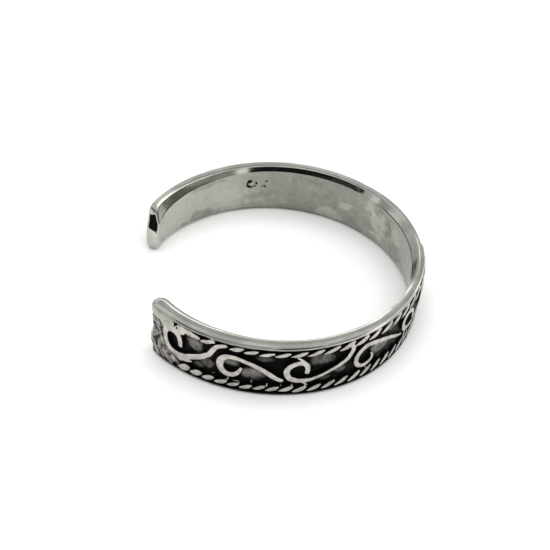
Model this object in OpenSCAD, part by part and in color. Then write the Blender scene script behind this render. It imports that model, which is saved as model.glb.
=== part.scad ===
// Open toe ring: a plain polished shank with a soldered ornamental layer on one half.
// The ring lies on its side. Z is the ring's axis, z = 0 is half the band's width,
// and the opening between the two tips faces -X. Angles run from +X towards +Y.

/* [Band] */
// Inner diameter, which is the toe size (mm)
bore_d = 15.5; // [14:0.25:19]
// Width of the band along the ring's axis (mm)
band_w = 3.55; // [3:0.05:5]
// Width at the plain tip, to which the shank tapers (mm)
far_w = 3.2; // [2.8:0.05:3.5]
// Thickness of the plain shank (mm)
wall = 0.68; // [0.6:0.02:1.2]
// Thickness at the ornamented tip, over the lips (mm)
near_wall = 1.03; // [0.8:0.01:1.4]
// Angle of the opening between the tips (degrees)
gap_angle = 59; // [40:1:90]

/* [Rims] */
// Width of the bevel between the inner wall and the rim's flat (mm)
bevel_w = 0.28; // [0.2:0.01:0.3]
// Height of that bevel along the axis (mm)
bevel_h = 0.43; // [0.3:0.01:0.5]
// Angle at which the bevel leaves the inner wall (degrees)
crease_angle = 20; // [10:1:28]
// Width of the flat on each rim, on which the ring rests (mm)
rim_flat = 0.14; // [0.08:0.01:0.2]
// Height of the outer rounding on the plain shank (mm)
plain_round_h = 0.37; // [0.2:0.01:0.5]
// Height of the outer rounding over the ornamental layer (mm)
lip_round_h = 0.2; // [0.1:0.01:0.22]

/* [Tips] */
// Length over which each tip is rounded off (mm)
tip_round = 0.38; // [0.2:0.02:0.6]
// Rounding of the tip's inner and outer edge (mm)
tip_edge = 0.2; // [0.1:0.01:0.25]
// Rounding of the tip's upper and lower corner (mm)
tip_corner = 0.42; // [0.2:0.02:0.8]
// How far the ornamented tip's lower end stands back from its upper end (mm)
tip_lean = 0.3; // [0:0.05:0.6]

/* [Ornamental layer] */
// Angle at which the layer ends in a small step (degrees)
layer_end = 4; // [-20:1:20]
// Depth of the layer's ground below its lips (mm)
sink = 0.15; // [0.08:0.01:0.3]
// Width of each lip's outer face (mm)
lip_w = 0.07; // [0.04:0.01:0.15]
// Height of the ropes and scrolls over the sunk ground (mm)
relief_h = 0.2; // [0.12:0.01:0.4]
// Depth to which the relief is rooted in the band (mm)
root = 0.12; // [0.08:0.01:0.25]

/* [Rope borders] */
// Width of a rope strand's lump across the rope (mm)
lump_w = 0.31; // [0.2:0.01:0.5]
// Length of a lump along the rope (mm)
lump_l = 0.7; // [0.4:0.02:1]
// Slant of the lumps to the rope (degrees)
lump_slant = 20; // [0:1:40]
// Distance between the lumps of the upper rope (mm)
upper_pitch = 0.9; // [0.75:0.01:1.4]
// Distance between the lumps of the lower rope (mm)
lower_pitch = 0.78; // [0.75:0.01:1.4]
// Clear ground between a lip and the rope beside it (mm)
rope_gap = 0.03; // [0:0.01:0.1]

/* [Scrolls] */
// Width of a scroll's wire at its head (mm)
head_w = 0.33; // [0.2:0.01:0.45]
// Width of a scroll's wire at its end (mm)
tail_w = 0.25; // [0.15:0.01:0.35]
// Angle from the opening's tip to the first scroll (degrees)
first_scroll = 8.7; // [6:0.1:14]
// Angle that the last scroll's short tail takes before the step (degrees)
last_scroll = 16.8; // [12:0.1:20]

/* [Hidden] */

// Each section of the band is sampled this finely
section_step = 5;
bevel_steps = 4;
round_steps = 4;
tip_steps = 4;
// The band's raw inner side lies this far inside the bore that cuts it
bore_allowance = 0.12;

bore_r = bore_d / 2;
shank_r = bore_r + wall;
half_w = band_w / 2;
tip_a = 180 - gap_angle / 2;
rim_in_r = bore_r + bevel_w;
rim_out_r = rim_in_r + rim_flat;
// The layer's end ramps down over this angle
step_ramp = 1;
// Share of the ground's depth by which a lip's inner side leans
lip_lean = 0.25;
mm_per_degree = shank_r * PI / 180;
tip_round_a = tip_round / mm_per_degree;
// The lean of the ornamented tip fades out over this angle
lean_fade = 15;

// Heights of the layer's parts along the axis
lip_edge_z = half_w - lip_round_h - lip_w;
lump_half_h = (lump_w * cos(lump_slant) + lump_l * sin(lump_slant) * 0.42) / 2;
rope_z = lip_edge_z - rope_gap - lump_half_h;
field_z = rope_z - lump_half_h;

// Sections of the band, in order of angle: [angle, share of the layer, share of the full section]
DEG = 0;
LAYER = 1;
FULL = 2;

function steps(from, to, size) = max(1, ceil((to - from) / size));
function spread(from, to, size) =
    let (n = steps(from, to, size)) [for (i = [1:n]) from + (to - from) * i / n];
function tip_place(i) = tip_round_a * (1 - cos(90 * i / tip_steps));
function tip_share(i) = sin(90 * i / tip_steps);

near_start = -tip_a + tip_round_a;
far_start = tip_a - tip_round_a;
SECTIONS = concat(
    [for (i = [0:tip_steps]) [-tip_a + tip_place(i), 1, tip_share(i)]],
    [for (a = spread(near_start, layer_end - step_ramp, section_step)) [a, 1, 1]],
    [[layer_end, 0, 1]],
    [for (a = spread(layer_end, far_start, section_step)) [a, 0, 1]],
    [for (i = [tip_steps - 1:-1:0]) [tip_a - tip_place(i), 0, tip_share(i)]]
);

function mix(from, to, share) = from + (to - from) * share;
// The upper rim sinks towards the plain tip, ever faster
function rim_z(a) = half_w - (band_w - far_w) * pow((a + tip_a) / (2 * tip_a), 2);
// The band thickens towards the ornamented tip, ever faster
function outer_r(a) = shank_r + (near_wall - wall) * pow(max(0, (layer_end - a) / (layer_end + tip_a)), 2);
function ground_r(a) = outer_r(a) - sink;
// Angle by which a point of the band near the ornamented tip is set back
function lean_a(a, z) = tip_lean / mm_per_degree * (half_w - z) / band_w * max(0, 1 - (a + tip_a) / lean_fade);

// Half a section's outline above z = 0, from the inner wall to the outer one, as [radius, z].
// layer runs from 0 on the plain shank to 1 on the ornamental layer.
function half_outline(a, top, layer) =
    let (
        bevel_reach = bevel_h * tan(crease_angle),
        round_h = mix(plain_round_h, lip_round_h, layer),
        round_w = outer_r(a) - rim_out_r,
        inner_z = top - bevel_h - bore_allowance / tan(crease_angle),
        plain_z = top - round_h
    )
    concat(
        [[bore_r - bore_allowance, inner_z]],
        [for (i = [1:bevel_steps]) let (t = i / bevel_steps)
            [bore_r + 2 * t * (1 - t) * bevel_reach + t * t * bevel_w, top - bevel_h * (1 - t) * (1 - t)]],
        [for (i = [0:round_steps]) let (t = 90 * i / round_steps)
            [rim_out_r + round_w * sin(t), top - round_h * (1 - cos(t))]],
        [
            [outer_r(a), plain_z - lip_w],
            [outer_r(a) - sink * layer, plain_z - lip_w - sink * lip_lean]
        ]
    );

// A whole section's outline: the upper half, then the lower half back to the inner wall
function outline(a, layer) =
    let (
        upper = half_outline(a, rim_z(a), layer),
        lower = half_outline(a, half_w, layer)
    )
    concat(upper, [for (i = [len(lower) - 1:-1:0]) [lower[i][0], -lower[i][1]]]);

// Rounds a tip's section: it shrinks towards the middle of the wall as share falls from 1 to 0
function rounded(points, share, a) =
    let (
        mid_r = (bore_r + outer_r(a)) / 2,
        mid_z = (rim_z(a) - half_w) / 2,
        in_r = (outer_r(a) - bore_r) / 2,
        in_z = (rim_z(a) + half_w) / 2,
        k_r = 1 - tip_edge / in_r * (1 - share),
        k_z = 1 - tip_corner / in_z * (1 - share)
    )
    share == 1 ? points : [for (p = points)
        [mid_r + (max(p[0], bore_r) - mid_r) * k_r, mid_z + (p[1] - mid_z) * k_z]];

function round_point(a, p) = [p[0] * cos(a), p[0] * sin(a), p[1]];

// Faces of a closed sweep of rings with the same number of points each, whose points run
// clockwise when looked at from the sweep's end
function sweep_faces(rings, sides) = concat(
    [for (i = [0:rings - 2]) for (j = [0:sides - 1])
        let (k = (j + 1) % sides) [i * sides + j, (i + 1) * sides + k, i * sides + k]],
    [for (i = [0:rings - 2]) for (j = [0:sides - 1])
        let (k = (j + 1) % sides) [i * sides + j, (i + 1) * sides + j, (i + 1) * sides + k]],
    [[for (j = [0:sides - 1]) j]],
    [[for (j = [sides - 1:-1:0]) (rings - 1) * sides + j]]
);

// A point of the relief: x along the layer from angle a (mm), z along the axis, h over the ground
function relief_point(a, x, z, h) =
    let (at = a + x / mm_per_degree) round_point(at, [ground_r(at) + h, z]);

// The band with its rims, tips and the layer's lips, before the bore is cut
module raw_band() {
    rings = [for (s = SECTIONS)
        [for (p = rounded(outline(s[DEG], s[LAYER]), s[FULL], s[DEG]))
            round_point(s[DEG] + lean_a(s[DEG], p[1]), p)]];
    polyhedron(
        points = [for (ring = rings) for (p = ring) p],
        faces = sweep_faces(len(rings), len(rings[0]))
    );
}

// One lump of a rope: a low dome on a slanted oval, rooted in the band
DOME = [[-1, 1], [0.35, 1], [0.85, 0.72], [1, 0.3]];
DOME_H = 0;
DOME_R = 1;
lump_sides = 8;
module lump(a, z) {
    rings = [for (d = DOME) [for (j = [0:lump_sides - 1])
        let (
            t = 360 * (j + 0.5) / lump_sides,
            u = lump_l / 2 * d[DOME_R] * cos(t),
            v = lump_w / 2 * d[DOME_R] * sin(t),
            h = d[DOME_H] < 0 ? -root : relief_h * d[DOME_H]
        )
        relief_point(a, u * cos(lump_slant) - v * sin(lump_slant),
            z + u * sin(lump_slant) + v * cos(lump_slant), h)]];
    polyhedron(
        points = [for (ring = rings) for (p = ring) p],
        faces = sweep_faces(len(rings), lump_sides)
    );
}

// A row of lumps from the near tip to the layer's end
module rope(z, pitch) {
    first = -tip_a + (tip_round + lump_l) / mm_per_degree;
    last = layer_end - step_ramp - lump_l / mm_per_degree;
    n = floor((last - first) * mm_per_degree / pitch);
    for (i = [0:n]) lump(first + (last - first) * i / n, z);
}

// Scrolls: PLACE in pitches from the first, SIDE 1 hooks over the top and -1 is its mirror image.
// The tail bends towards TURN and stops at END: X in pitches from the head's left side,
// Z in shares of the field's half height.
PLACE = 0;
SIDE = 1;
TURN_X = 2;
TURN_Z = 3;
END_X = 4;
END_Z = 5;
SCROLLS = [
    [0.00,  1, 0.86, 0.15, 1.06, 1.18],
    [0.96, -1, 0.77, 0.15, 0.94, 0.58],
    [1.97,  1, 0.99, 0.25, 0.99, 1.20],
    [3.02, -1, 0.78, -0.10, 0.95, 0.15],
    [4.00,  1, 0.93, 0.20, 0.99, 1.12],
    [5.00, -1, 0.42, -0.50, 0.52, 0.10]
];
scroll_pitch_a = (layer_end + tip_a - first_scroll - last_scroll) / (len(SCROLLS) - 1);
scroll_pitch = scroll_pitch_a * mm_per_degree;
// The head is an oval, these shares of the pitch and of the field's half height
head_half_l = 0.155 * scroll_pitch;
head_half_h = 0.77 * field_z;
head_steps = 14;
tail_steps = 12;

// The wire's middle line as [x, z]: round the head from its tip, then along the tail
function bezier(a, b, c, d, t) =
    a * pow(1 - t, 3) + b * 3 * t * pow(1 - t, 2) + c * 3 * t * t * (1 - t) + d * pow(t, 3);
function scroll_line(s) = concat(
    [for (i = [0:head_steps]) let (t = 270 * i / head_steps)
        [head_half_l * (1 + cos(t)), head_half_h * sin(t)]],
    [for (i = [1:tail_steps])
        bezier([head_half_l, -head_half_h], [0.47 * scroll_pitch, -head_half_h],
            [s[TURN_X] * scroll_pitch, s[TURN_Z] * field_z],
            [s[END_X] * scroll_pitch, s[END_Z] * field_z], i / tail_steps)]
);

// Across the wire: places in half widths and heights in shares of the relief, the root first
WIRE = [[-1, -1], [-1, 0.4], [-0.55, 0.95], [0.55, 0.95], [1, 0.4], [1, -1]];

module scroll(s) {
    a = -tip_a + first_scroll + s[PLACE] * scroll_pitch_a;
    line = scroll_line(s);
    n = len(line);
    rings = [for (i = [0:n - 1])
        let (
            ahead = line[min(i + 1, n - 1)] - line[max(i - 1, 0)],
            side = [-ahead[1], ahead[0]] / norm(ahead),
            half = mix(head_w, tail_w, i / (n - 1)) / 2
        )
        [for (p = WIRE) let (q = line[i] + side * half * p[0])
            relief_point(a, q[0], s[SIDE] * q[1], p[1] < 0 ? -root : relief_h * p[1])]];
    faces = sweep_faces(n, len(WIRE));
    polyhedron(
        points = [for (ring = rings) for (p = ring) p],
        faces = s[SIDE] > 0 ? [for (f = faces) [for (i = [len(f) - 1:-1:0]) f[i]]] : faces
    );
}

// The whole ring is one soldered and cast piece of silver
module toe_ring() {
    color("silver") difference() {
        union() {
            raw_band();
            rope(rope_z, upper_pitch);
            rope(-rope_z, lower_pitch);
            for (s = SCROLLS) scroll(s);
        }
        cylinder(h = 2 * band_w, r = bore_r, center = true, $fn = 180);
    }
}

toe_ring();
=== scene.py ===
"""Look of an open toe ring in darkened sterling silver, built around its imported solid.

Millimetres and degrees are used for the ring's own sizes. Angles run from +X towards +Y, the
opening between the tips faces -X and z = 0 is half the band's width.
"""

import logging
import math
from dataclasses import dataclass
from enum import Enum
from typing import Any, NamedTuple, Sequence

import bpy
import numpy as np
from mathutils import Matrix, Vector


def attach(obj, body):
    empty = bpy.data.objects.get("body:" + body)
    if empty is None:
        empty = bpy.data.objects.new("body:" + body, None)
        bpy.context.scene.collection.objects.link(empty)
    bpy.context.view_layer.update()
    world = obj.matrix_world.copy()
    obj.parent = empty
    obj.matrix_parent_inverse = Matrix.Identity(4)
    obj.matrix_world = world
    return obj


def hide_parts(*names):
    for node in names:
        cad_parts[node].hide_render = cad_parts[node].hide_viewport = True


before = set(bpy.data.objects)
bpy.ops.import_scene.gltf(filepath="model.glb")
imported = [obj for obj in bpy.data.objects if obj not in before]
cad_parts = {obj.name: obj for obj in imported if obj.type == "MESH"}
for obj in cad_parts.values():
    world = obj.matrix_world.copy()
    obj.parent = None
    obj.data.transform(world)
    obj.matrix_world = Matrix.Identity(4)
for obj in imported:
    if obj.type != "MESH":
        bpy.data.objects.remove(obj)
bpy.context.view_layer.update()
RING_NODE = "toe_ring"
MM = 0.001
SEED = 31
SMOOTH = {"interpolation_type": "SMOOTHSTEP"}
COLOURS = {"data_type": "RGBA"}
# The painted shade, the stamp's stain and the dark patch on the plain tip's end begin to darken at the
# first of these values and are black at the second
SHADE_AND_STAIN_SPAN = (0.2, 0.8)

Array = np.ndarray
Tree = bpy.types.NodeTree
Socket = bpy.types.NodeSocket
Table = tuple[tuple[float, ...], ...]
log = logging.getLogger("toe_ring")


def smoothstep(low: float, high: float, value: Array) -> Array:
    """Ramps smoothly from 0 to 1 while the value goes from low to high."""
    t = np.clip((value - low) / (high - low), 0.0, 1.0)
    return t * t * (3.0 - 2.0 * t)


def table_at(place: Array, rows: Sequence[tuple[float, ...]], column: int = 1) -> Array:
    """Reads a column of a table at the given places. The table's first column is the place."""
    table = np.array(rows)
    return np.interp(place, table[:, 0], table[:, column])


class Grain:
    """Smooth seeded noise over the plane, for cast and hand-finished surfaces."""

    # Each finer layer is moved on by this much, and the layers' sum is divided by the spread
    layer_shift = (7.3, 3.1)
    spread = 1.6

    def __init__(self, seed: int, size: int = 64) -> None:
        """Draws a lattice of size points a side, after which the noise repeats."""
        self.size = size
        self.lattice = np.random.default_rng(seed).uniform(-1.0, 1.0, (size, size))

    def at(self, x: Array, y: Array) -> Array:
        """Reads the noise between the lattice's points.

        Args:
            x: First coordinate in lattice steps.
            y: Second coordinate.

        Returns:
            The noise, from -1 to 1.
        """
        x0, y0 = np.floor(x).astype(int), np.floor(y).astype(int)
        u, v = smoothstep(0.0, 1.0, x - x0), smoothstep(0.0, 1.0, y - y0)
        low = self.pick(x0, y0) * (1 - u) + self.pick(x0 + 1, y0) * u
        high = self.pick(x0, y0 + 1) * (1 - u) + self.pick(x0 + 1, y0 + 1) * u
        return low * (1 - v) + high * v

    def pick(self, x: Array, y: Array) -> Array:
        """Lattice values at whole steps, repeated beyond the lattice."""
        return self.lattice[x % self.size, y % self.size]

    def layered(self, x: Array, y: Array, layers: int) -> Array:
        """Adds up noise of several finenesses.

        Args:
            x: First coordinate in steps of the coarsest layer.
            y: Second coordinate.
            layers: How many layers, each twice as fine and half as strong.

        Returns:
            The sum, from about -1 to 1.
        """
        total = np.zeros(np.broadcast(x, y).shape)
        dx, dy = self.layer_shift
        for i in range(layers):
            total = total + self.at(x * 2**i + dx * i, y * 2**i + dy * i) / 2**i
        return total / self.spread


@dataclass(frozen=True)
class Mottle:
    """Uneven places on the metal: how strong, and how many in a millimetre along and across."""

    strength: float
    along: float
    across: float
    layers: int = 3
    shift: tuple[float, float] = (0.0, 0.0)

    def on(self, grain: Grain, x: Array, z: Array) -> Array:
        """The unevenness at places along and across the band."""
        dx, dz = self.shift
        return self.strength * grain.layered(x * self.along + dx, z * self.across + dz, self.layers)


class Patch(NamedTuple):
    """An oval place on the band: its middle, half length in degrees, half height and strength."""

    angle: float
    z: float
    half_a: float
    half_z: float
    strength: float = 1.0

    def cover(self, angle: Array, z: Array, border: tuple[float, float],
              ragged: Array | float = 0.0) -> Array:
        """How far the patch covers each point.

        Args:
            angle: Angles of the points.
            z: Heights of the points.
            border: Where the cover is 0 and where 1, as shares of the patch's size.
            ragged: What is added to those shares to make the patch uneven.

        Returns:
            The cover, from 0 to 1.
        """
        away = np.hypot((angle - self.angle) / self.half_a, (z - self.z) / self.half_z)
        return smoothstep(*border, away + ragged)


def patches(*rows: tuple[float, float, float, float, float]) -> tuple[Patch, ...]:
    """Turns rows of angle, z, half length in degrees, half height and strength into patches."""
    return tuple(Patch(*row) for row in rows)


class Region(Enum):
    """Parts of the band's surface that have a finish of their own."""

    POLISHED = 0
    INNER_WALL = 1


@dataclass(frozen=True)
class BandForm:
    """Sizes of the band, the same as the solid's, with the finer forms that the photo shows."""

    bore_r: float = 7.75
    wall: float = 0.68
    near_wall: float = 1.03
    band_w: float = 3.55
    far_w: float = 3.2
    tip_a: float = 150.5
    low_flat: float = 0.39
    plain_round_h: float = 0.37
    lip_round_h: float = 0.14
    low_edge_w: float = 0.34
    low_edge_h: float = 0.48
    sink: float = 0.15
    lip_w: float = 0.05
    # The layer ends over a short ramp and stands proud of the shank there
    layer_end: float = 4.0
    layer_ramp: float = 1.4
    step_h: float = 0.06
    step_fade: float = 24.0
    # Height of the bevel inside the upper rim. Columns: angle, height
    bevel: Table = (
        (-150.5, 0.42), (-20.0, 0.41), (0.0, 0.38), (20.0, 0.37), (60.0, 0.4), (90.0, 0.37),
        (100.0, 0.39), (110.0, 0.45), (120.0, 0.49), (130.0, 0.58), (140.0, 0.73), (146.0, 0.9),
        (150.5, 0.98))
    # The bevel ends in an edge, from which the rim is crowned.
    # Columns: angle, width of the bevel, drop and width of the crown, power of its curve
    crown: Table = (
        (-150.5, 0.03, 0.165, 0.56, 2.0), (-138.0, 0.03, 0.15, 0.5, 2.0),
        (-120.0, 0.04, 0.075, 0.34, 2.0), (-104.0, 0.05, 0.05, 0.25, 2.0),
        (-90.0, 0.06, 0.037, 0.2, 2.0), (-65.0, 0.06, 0.045, 0.24, 2.0),
        (-40.0, 0.08, 0.078, 0.42, 1.22), (-15.0, 0.2, 0.12, 0.36, 1.8),
        (0.0, 0.3, 0.11, 0.28, 2.0), (20.0, 0.3, 0.1, 0.27, 2.0), (36.0, 0.27, 0.09, 0.25, 2.0),
        (47.0, 0.13, 0.1, 0.27, 2.0), (112.0, 0.12, 0.1, 0.27, 2.0), (130.0, 0.2, 0.13, 0.27, 1.7),
        (150.5, 0.24, 0.2, 0.3, 1.3))
    # The outer face leans in towards the lower rim, and the wall with it, less towards the
    # bore. Columns: angle, how far at the rim
    lean: Table = (
        (-76.0, 0.0), (-59.0, 0.04), (-46.0, 0.1), (-34.0, 0.16), (-19.0, 0.2), (-4.0, 0.2),
        (6.0, 0.1), (18.0, 0.0))
    # Heights where the lean begins and is full, and how deep the wall leans in full
    lean_span: tuple[float, float] = (0.5, -1.4)
    lean_skin: float = 0.25

    @property
    def half_w(self) -> float:
        """Half the band's width at the ornamented tip."""
        return self.band_w / 2

    @property
    def shank_r(self) -> float:
        """Outer radius of the plain shank."""
        return self.bore_r + self.wall

    @property
    def mm_per_degree(self) -> float:
        """Length along the band for one degree."""
        return math.radians(self.shank_r)

    def outer_r(self, angle: Array) -> Array:
        """Gives the outer radius, which grows towards the ornamented tip.

        Args:
            angle: Where along the band.

        Returns:
            The radius, with the step up at the layer's end.
        """
        share = np.maximum(0.0, (self.layer_end - angle) / (self.layer_end + self.tip_a))
        step = self.step_h * self.layer(angle) * smoothstep(-self.step_fade, 0.0, angle)
        return self.shank_r + (self.near_wall - self.wall) * share**2 + step

    def rim_z(self, angle: Array) -> Array:
        """Height of the upper rim, which sinks towards the plain tip."""
        share = (angle + self.tip_a) / (2 * self.tip_a)
        return self.half_w - (self.band_w - self.far_w) * share**2

    def layer(self, angle: Array) -> Array:
        """1 on the ornamental layer and 0 on the plain shank."""
        return 1.0 - smoothstep(self.layer_end - self.layer_ramp, self.layer_end, angle)

    def round_h(self, angle: Array) -> Array:
        """Height of the rounding at the outer edges, smaller on the layer's lips."""
        return self.plain_round_h + (self.lip_round_h - self.plain_round_h) * self.layer(angle)

    def leaned(self, angle: Array, radius: Array, z: Array) -> Array:
        """Moves points of the section in, the most at the lower rim and none at the inner wall.

        Args:
            angle: Angles of the points.
            radius: Radii of the points.
            z: Heights of the points.

        Returns:
            The changed radii.
        """
        depth = self.outer_r(angle) - self.bore_r - self.lean_skin
        share = np.clip((radius - self.bore_r) / depth, 0, 1)
        return radius - table_at(angle, self.lean) * share * smoothstep(*self.lean_span, z)


@dataclass(frozen=True)
class TipEnd:
    """How one tip of the band is rounded and how far it stands back along its height."""

    side: int
    length: float
    corner_length: float
    inner: float
    outer: float
    corner: float
    dome: float
    flare: float
    fade: float
    # Columns: height along the axis, distance that the end stands back
    setback: Table
    # Shares that the outer rounding and the corner have low on the tip
    low_outer: float = 0.45
    low_corner: float = 0.6
    # Heights between which the outer rounding grows to its full size
    low_span: tuple[float, float] = (0.2, 1.1)
    flare_length: float = 1.5

    def distance(self, form: BandForm, angle: Array) -> Array:
        """Distance from the tip's end along the band."""
        return (form.tip_a - self.side * angle) * form.mm_per_degree

    def rounded(self, form: BandForm, angle: Array, length: float) -> Array:
        """Share that a quarter round of this length takes off, 1 at the tip's end."""
        run = 1 - np.clip(self.distance(form, angle) / length, 0, 1)
        return 1 - np.sqrt(1 - run**2)

    def shape(self, form: BandForm, radius: Array, z: Array,
              angle: Array) -> tuple[Array, Array, Array]:
        """Rounds the section towards the tip and moves its end back.

        Args:
            form: The band's sizes.
            radius: Radii of the points.
            z: Heights of the points.
            angle: Nominal angles of the points.

        Returns:
            The changed radii, heights and angles.
        """
        lack = self.rounded(form, angle, self.length)
        full = form.outer_r(angle) - form.bore_r
        upper = self.low_outer + (1 - self.low_outer) * smoothstep(*self.low_span, z)
        taken_out = self.outer * lack * upper
        swell = np.clip(1 - self.distance(form, angle) / self.flare_length, 0, 1) ** 2
        taken_in = self.inner * lack - self.flare * swell
        share = (radius - form.bore_r) / full
        round_r = form.bore_r + taken_in + share * (full - taken_in - taken_out)
        mid_z = (form.rim_z(angle) - form.half_w) / 2
        half_z = (form.rim_z(angle) + form.half_w) / 2
        corner = np.where(z < mid_z, self.low_corner, 1.0) * self.corner
        round_z = mid_z + (z - mid_z) * (
            1 - corner / half_z * self.rounded(form, angle, self.corner_length))
        near = np.clip(1 - self.distance(form, angle) / form.mm_per_degree / self.fade, 0, 1) ** 2
        back = table_at(round_z, self.setback) / form.mm_per_degree * near
        return round_r, round_z, angle - self.side * back


NEAR_TIP = TipEnd(
    side=-1, length=0.75, corner_length=0.52, inner=0.24, outer=0.5, corner=0.28, dome=0.05,
    flare=0.0, fade=14.0, setback=(
        (-1.775, 0.46), (-1.35, 0.36), (-1.2, 0.24), (-1.0, 0.16), (-0.6, 0.15), (-0.2, 0.27),
        (0.1, 0.36), (0.4, 0.24), (0.8, 0.07), (1.2, 0.0), (1.6, 0.0), (1.775, 0.05)))
FAR_TIP = TipEnd(
    side=1, length=0.16, corner_length=0.4, inner=0.06, outer=0.1, corner=0.32, dome=0.012,
    flare=0.13, fade=11.0, setback=(
        (-1.775, 0.18), (-1.5, 0.08), (-1.1, 0.01), (-0.7, 0.0), (-0.3, 0.02), (0.9, 0.16),
        (1.425, 0.26)))


@dataclass(frozen=True)
class Stroke:
    """A raised wire of the ornament along a smooth line, its widths spread evenly over it."""

    points: Sequence[tuple[float, float]]
    half_widths: Sequence[float]
    height: float = 1.0
    bright: float = 1.0

    def line(self, mm_per_degree: float) -> tuple[Array, Array]:
        """Smooths the points into a fine line.

        Args:
            mm_per_degree: Length along the band for one degree.

        Returns:
            Points in millimetres, and the half width at each.
        """
        p = np.array(self.points, float) * [mm_per_degree, 1.0]
        ends = np.vstack([2 * p[0] - p[1], p, 2 * p[-1] - p[-2]])
        out = []
        for i in range(len(p) - 1):
            a, b, c, d = ends[i:i + 4]
            for t in np.linspace(0, 1, 6, endpoint=False):
                out.append(0.5 * (2 * b + (c - a) * t + (2 * a - 5 * b + 4 * c - d) * t**2
                                  + (3 * b - a - 3 * c + d) * t**3))
        out.append(p[-1])
        fine = np.array(out)
        run = np.concatenate([[0.0], np.cumsum(np.linalg.norm(np.diff(fine, axis=0), axis=1))])
        stations = np.linspace(0, run[-1], len(self.half_widths))
        return fine, np.interp(run, stations, self.half_widths)


# The scrolls as read off the photo, from the hook's tip to the tail's end, as (angle, z)
SCROLLS = (
    Stroke(((-132.4, 0.18), (-132.7, 0.5), (-133.7, 0.82), (-135.8, 0.96), (-138.2, 0.9),
            (-139.6, 0.68), (-139.9, 0.38), (-139.3, 0.0), (-138.0, -0.33), (-136.0, -0.5),
            (-133.0, -0.56), (-130.0, -0.47), (-127.6, -0.28), (-125.3, -0.1), (-122.9, 0.11),
            (-121.4, 0.28), (-119.9, 0.5), (-118.8, 0.82), (-117.8, 1.1), (-115.9, 1.3),
            (-113.9, 1.41)), (0.15, 0.19, 0.18, 0.17, 0.18, 0.19, 0.2, 0.19, 0.17, 0.16, 0.13)),
    Stroke(((-107.6, 0.03), (-108.4, -0.24), (-109.6, -0.45), (-111.8, -0.57), (-114.0, -0.46),
            (-115.4, -0.2), (-115.8, 0.08), (-115.2, 0.4), (-113.6, 0.64), (-111.0, 0.73),
            (-108.0, 0.66), (-105.0, 0.51), (-102.5, 0.35), (-100.0, 0.16), (-97.7, -0.08),
            (-95.3, -0.35), (-93.7, -0.5), (-92.5, -0.58)),
           (0.1, 0.17, 0.2, 0.22, 0.19, 0.15, 0.15, 0.165, 0.165, 0.14)),
    Stroke(((-82.8, -0.03), (-82.7, 0.2), (-83.2, 0.47), (-84.4, 0.64), (-86.4, 0.66),
            (-88.7, 0.52), (-90.2, 0.26), (-90.6, 0.0), (-90.2, -0.25), (-89.1, -0.45),
            (-87.1, -0.58), (-85.2, -0.64), (-82.5, -0.64), (-79.9, -0.56), (-77.4, -0.42),
            (-75.0, -0.27), (-72.6, -0.11), (-70.1, 0.05), (-67.7, 0.25), (-66.2, 0.47),
            (-65.2, 0.7), (-64.6, 0.95), (-64.9, 1.2)),
           (0.15, 0.175, 0.17, 0.185, 0.185, 0.165, 0.13, 0.11, 0.12, 0.14, 0.16, 0.14)),
    Stroke(((-55.9, 0.08), (-55.1, -0.16), (-55.5, -0.4), (-57.2, -0.58), (-59.3, -0.64),
            (-61.3, -0.52), (-62.6, -0.25), (-62.8, 0.05), (-62.0, 0.35), (-60.7, 0.57),
            (-59.0, 0.73), (-57.0, 0.79), (-54.7, 0.73), (-52.3, 0.65), (-49.9, 0.56),
            (-47.4, 0.45), (-45.0, 0.31), (-42.6, 0.12), (-40.1, -0.08), (-37.9, -0.22)),
           (0.06, 0.13, 0.14, 0.165, 0.17, 0.18, 0.165, 0.14, 0.13, 0.08)),
    Stroke(((-28.2, 0.14), (-28.1, 0.38), (-29.0, 0.64), (-31.2, 0.82), (-34.0, 0.82),
            (-36.0, 0.6), (-36.5, 0.32), (-35.8, 0.02), (-34.0, -0.2), (-31.7, -0.33),
            (-28.8, -0.37), (-25.5, -0.28), (-22.0, -0.08), (-19.0, 0.2), (-17.0, 0.55),
            (-15.8, 0.9), (-15.2, 1.2)), (0.14, 0.16, 0.17, 0.16, 0.13, 0.13, 0.15)),
    Stroke(((-4.5, 0.0), (-5.2, -0.24), (-6.4, -0.45), (-8.2, -0.57), (-10.2, -0.45),
            (-11.4, -0.2), (-11.7, 0.08), (-11.2, 0.38), (-9.8, 0.63), (-7.4, 0.73),
            (-4.8, 0.66), (-2.4, 0.45), (-0.6, 0.2)), (0.11, 0.17, 0.18, 0.16, 0.13)),
)

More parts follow.
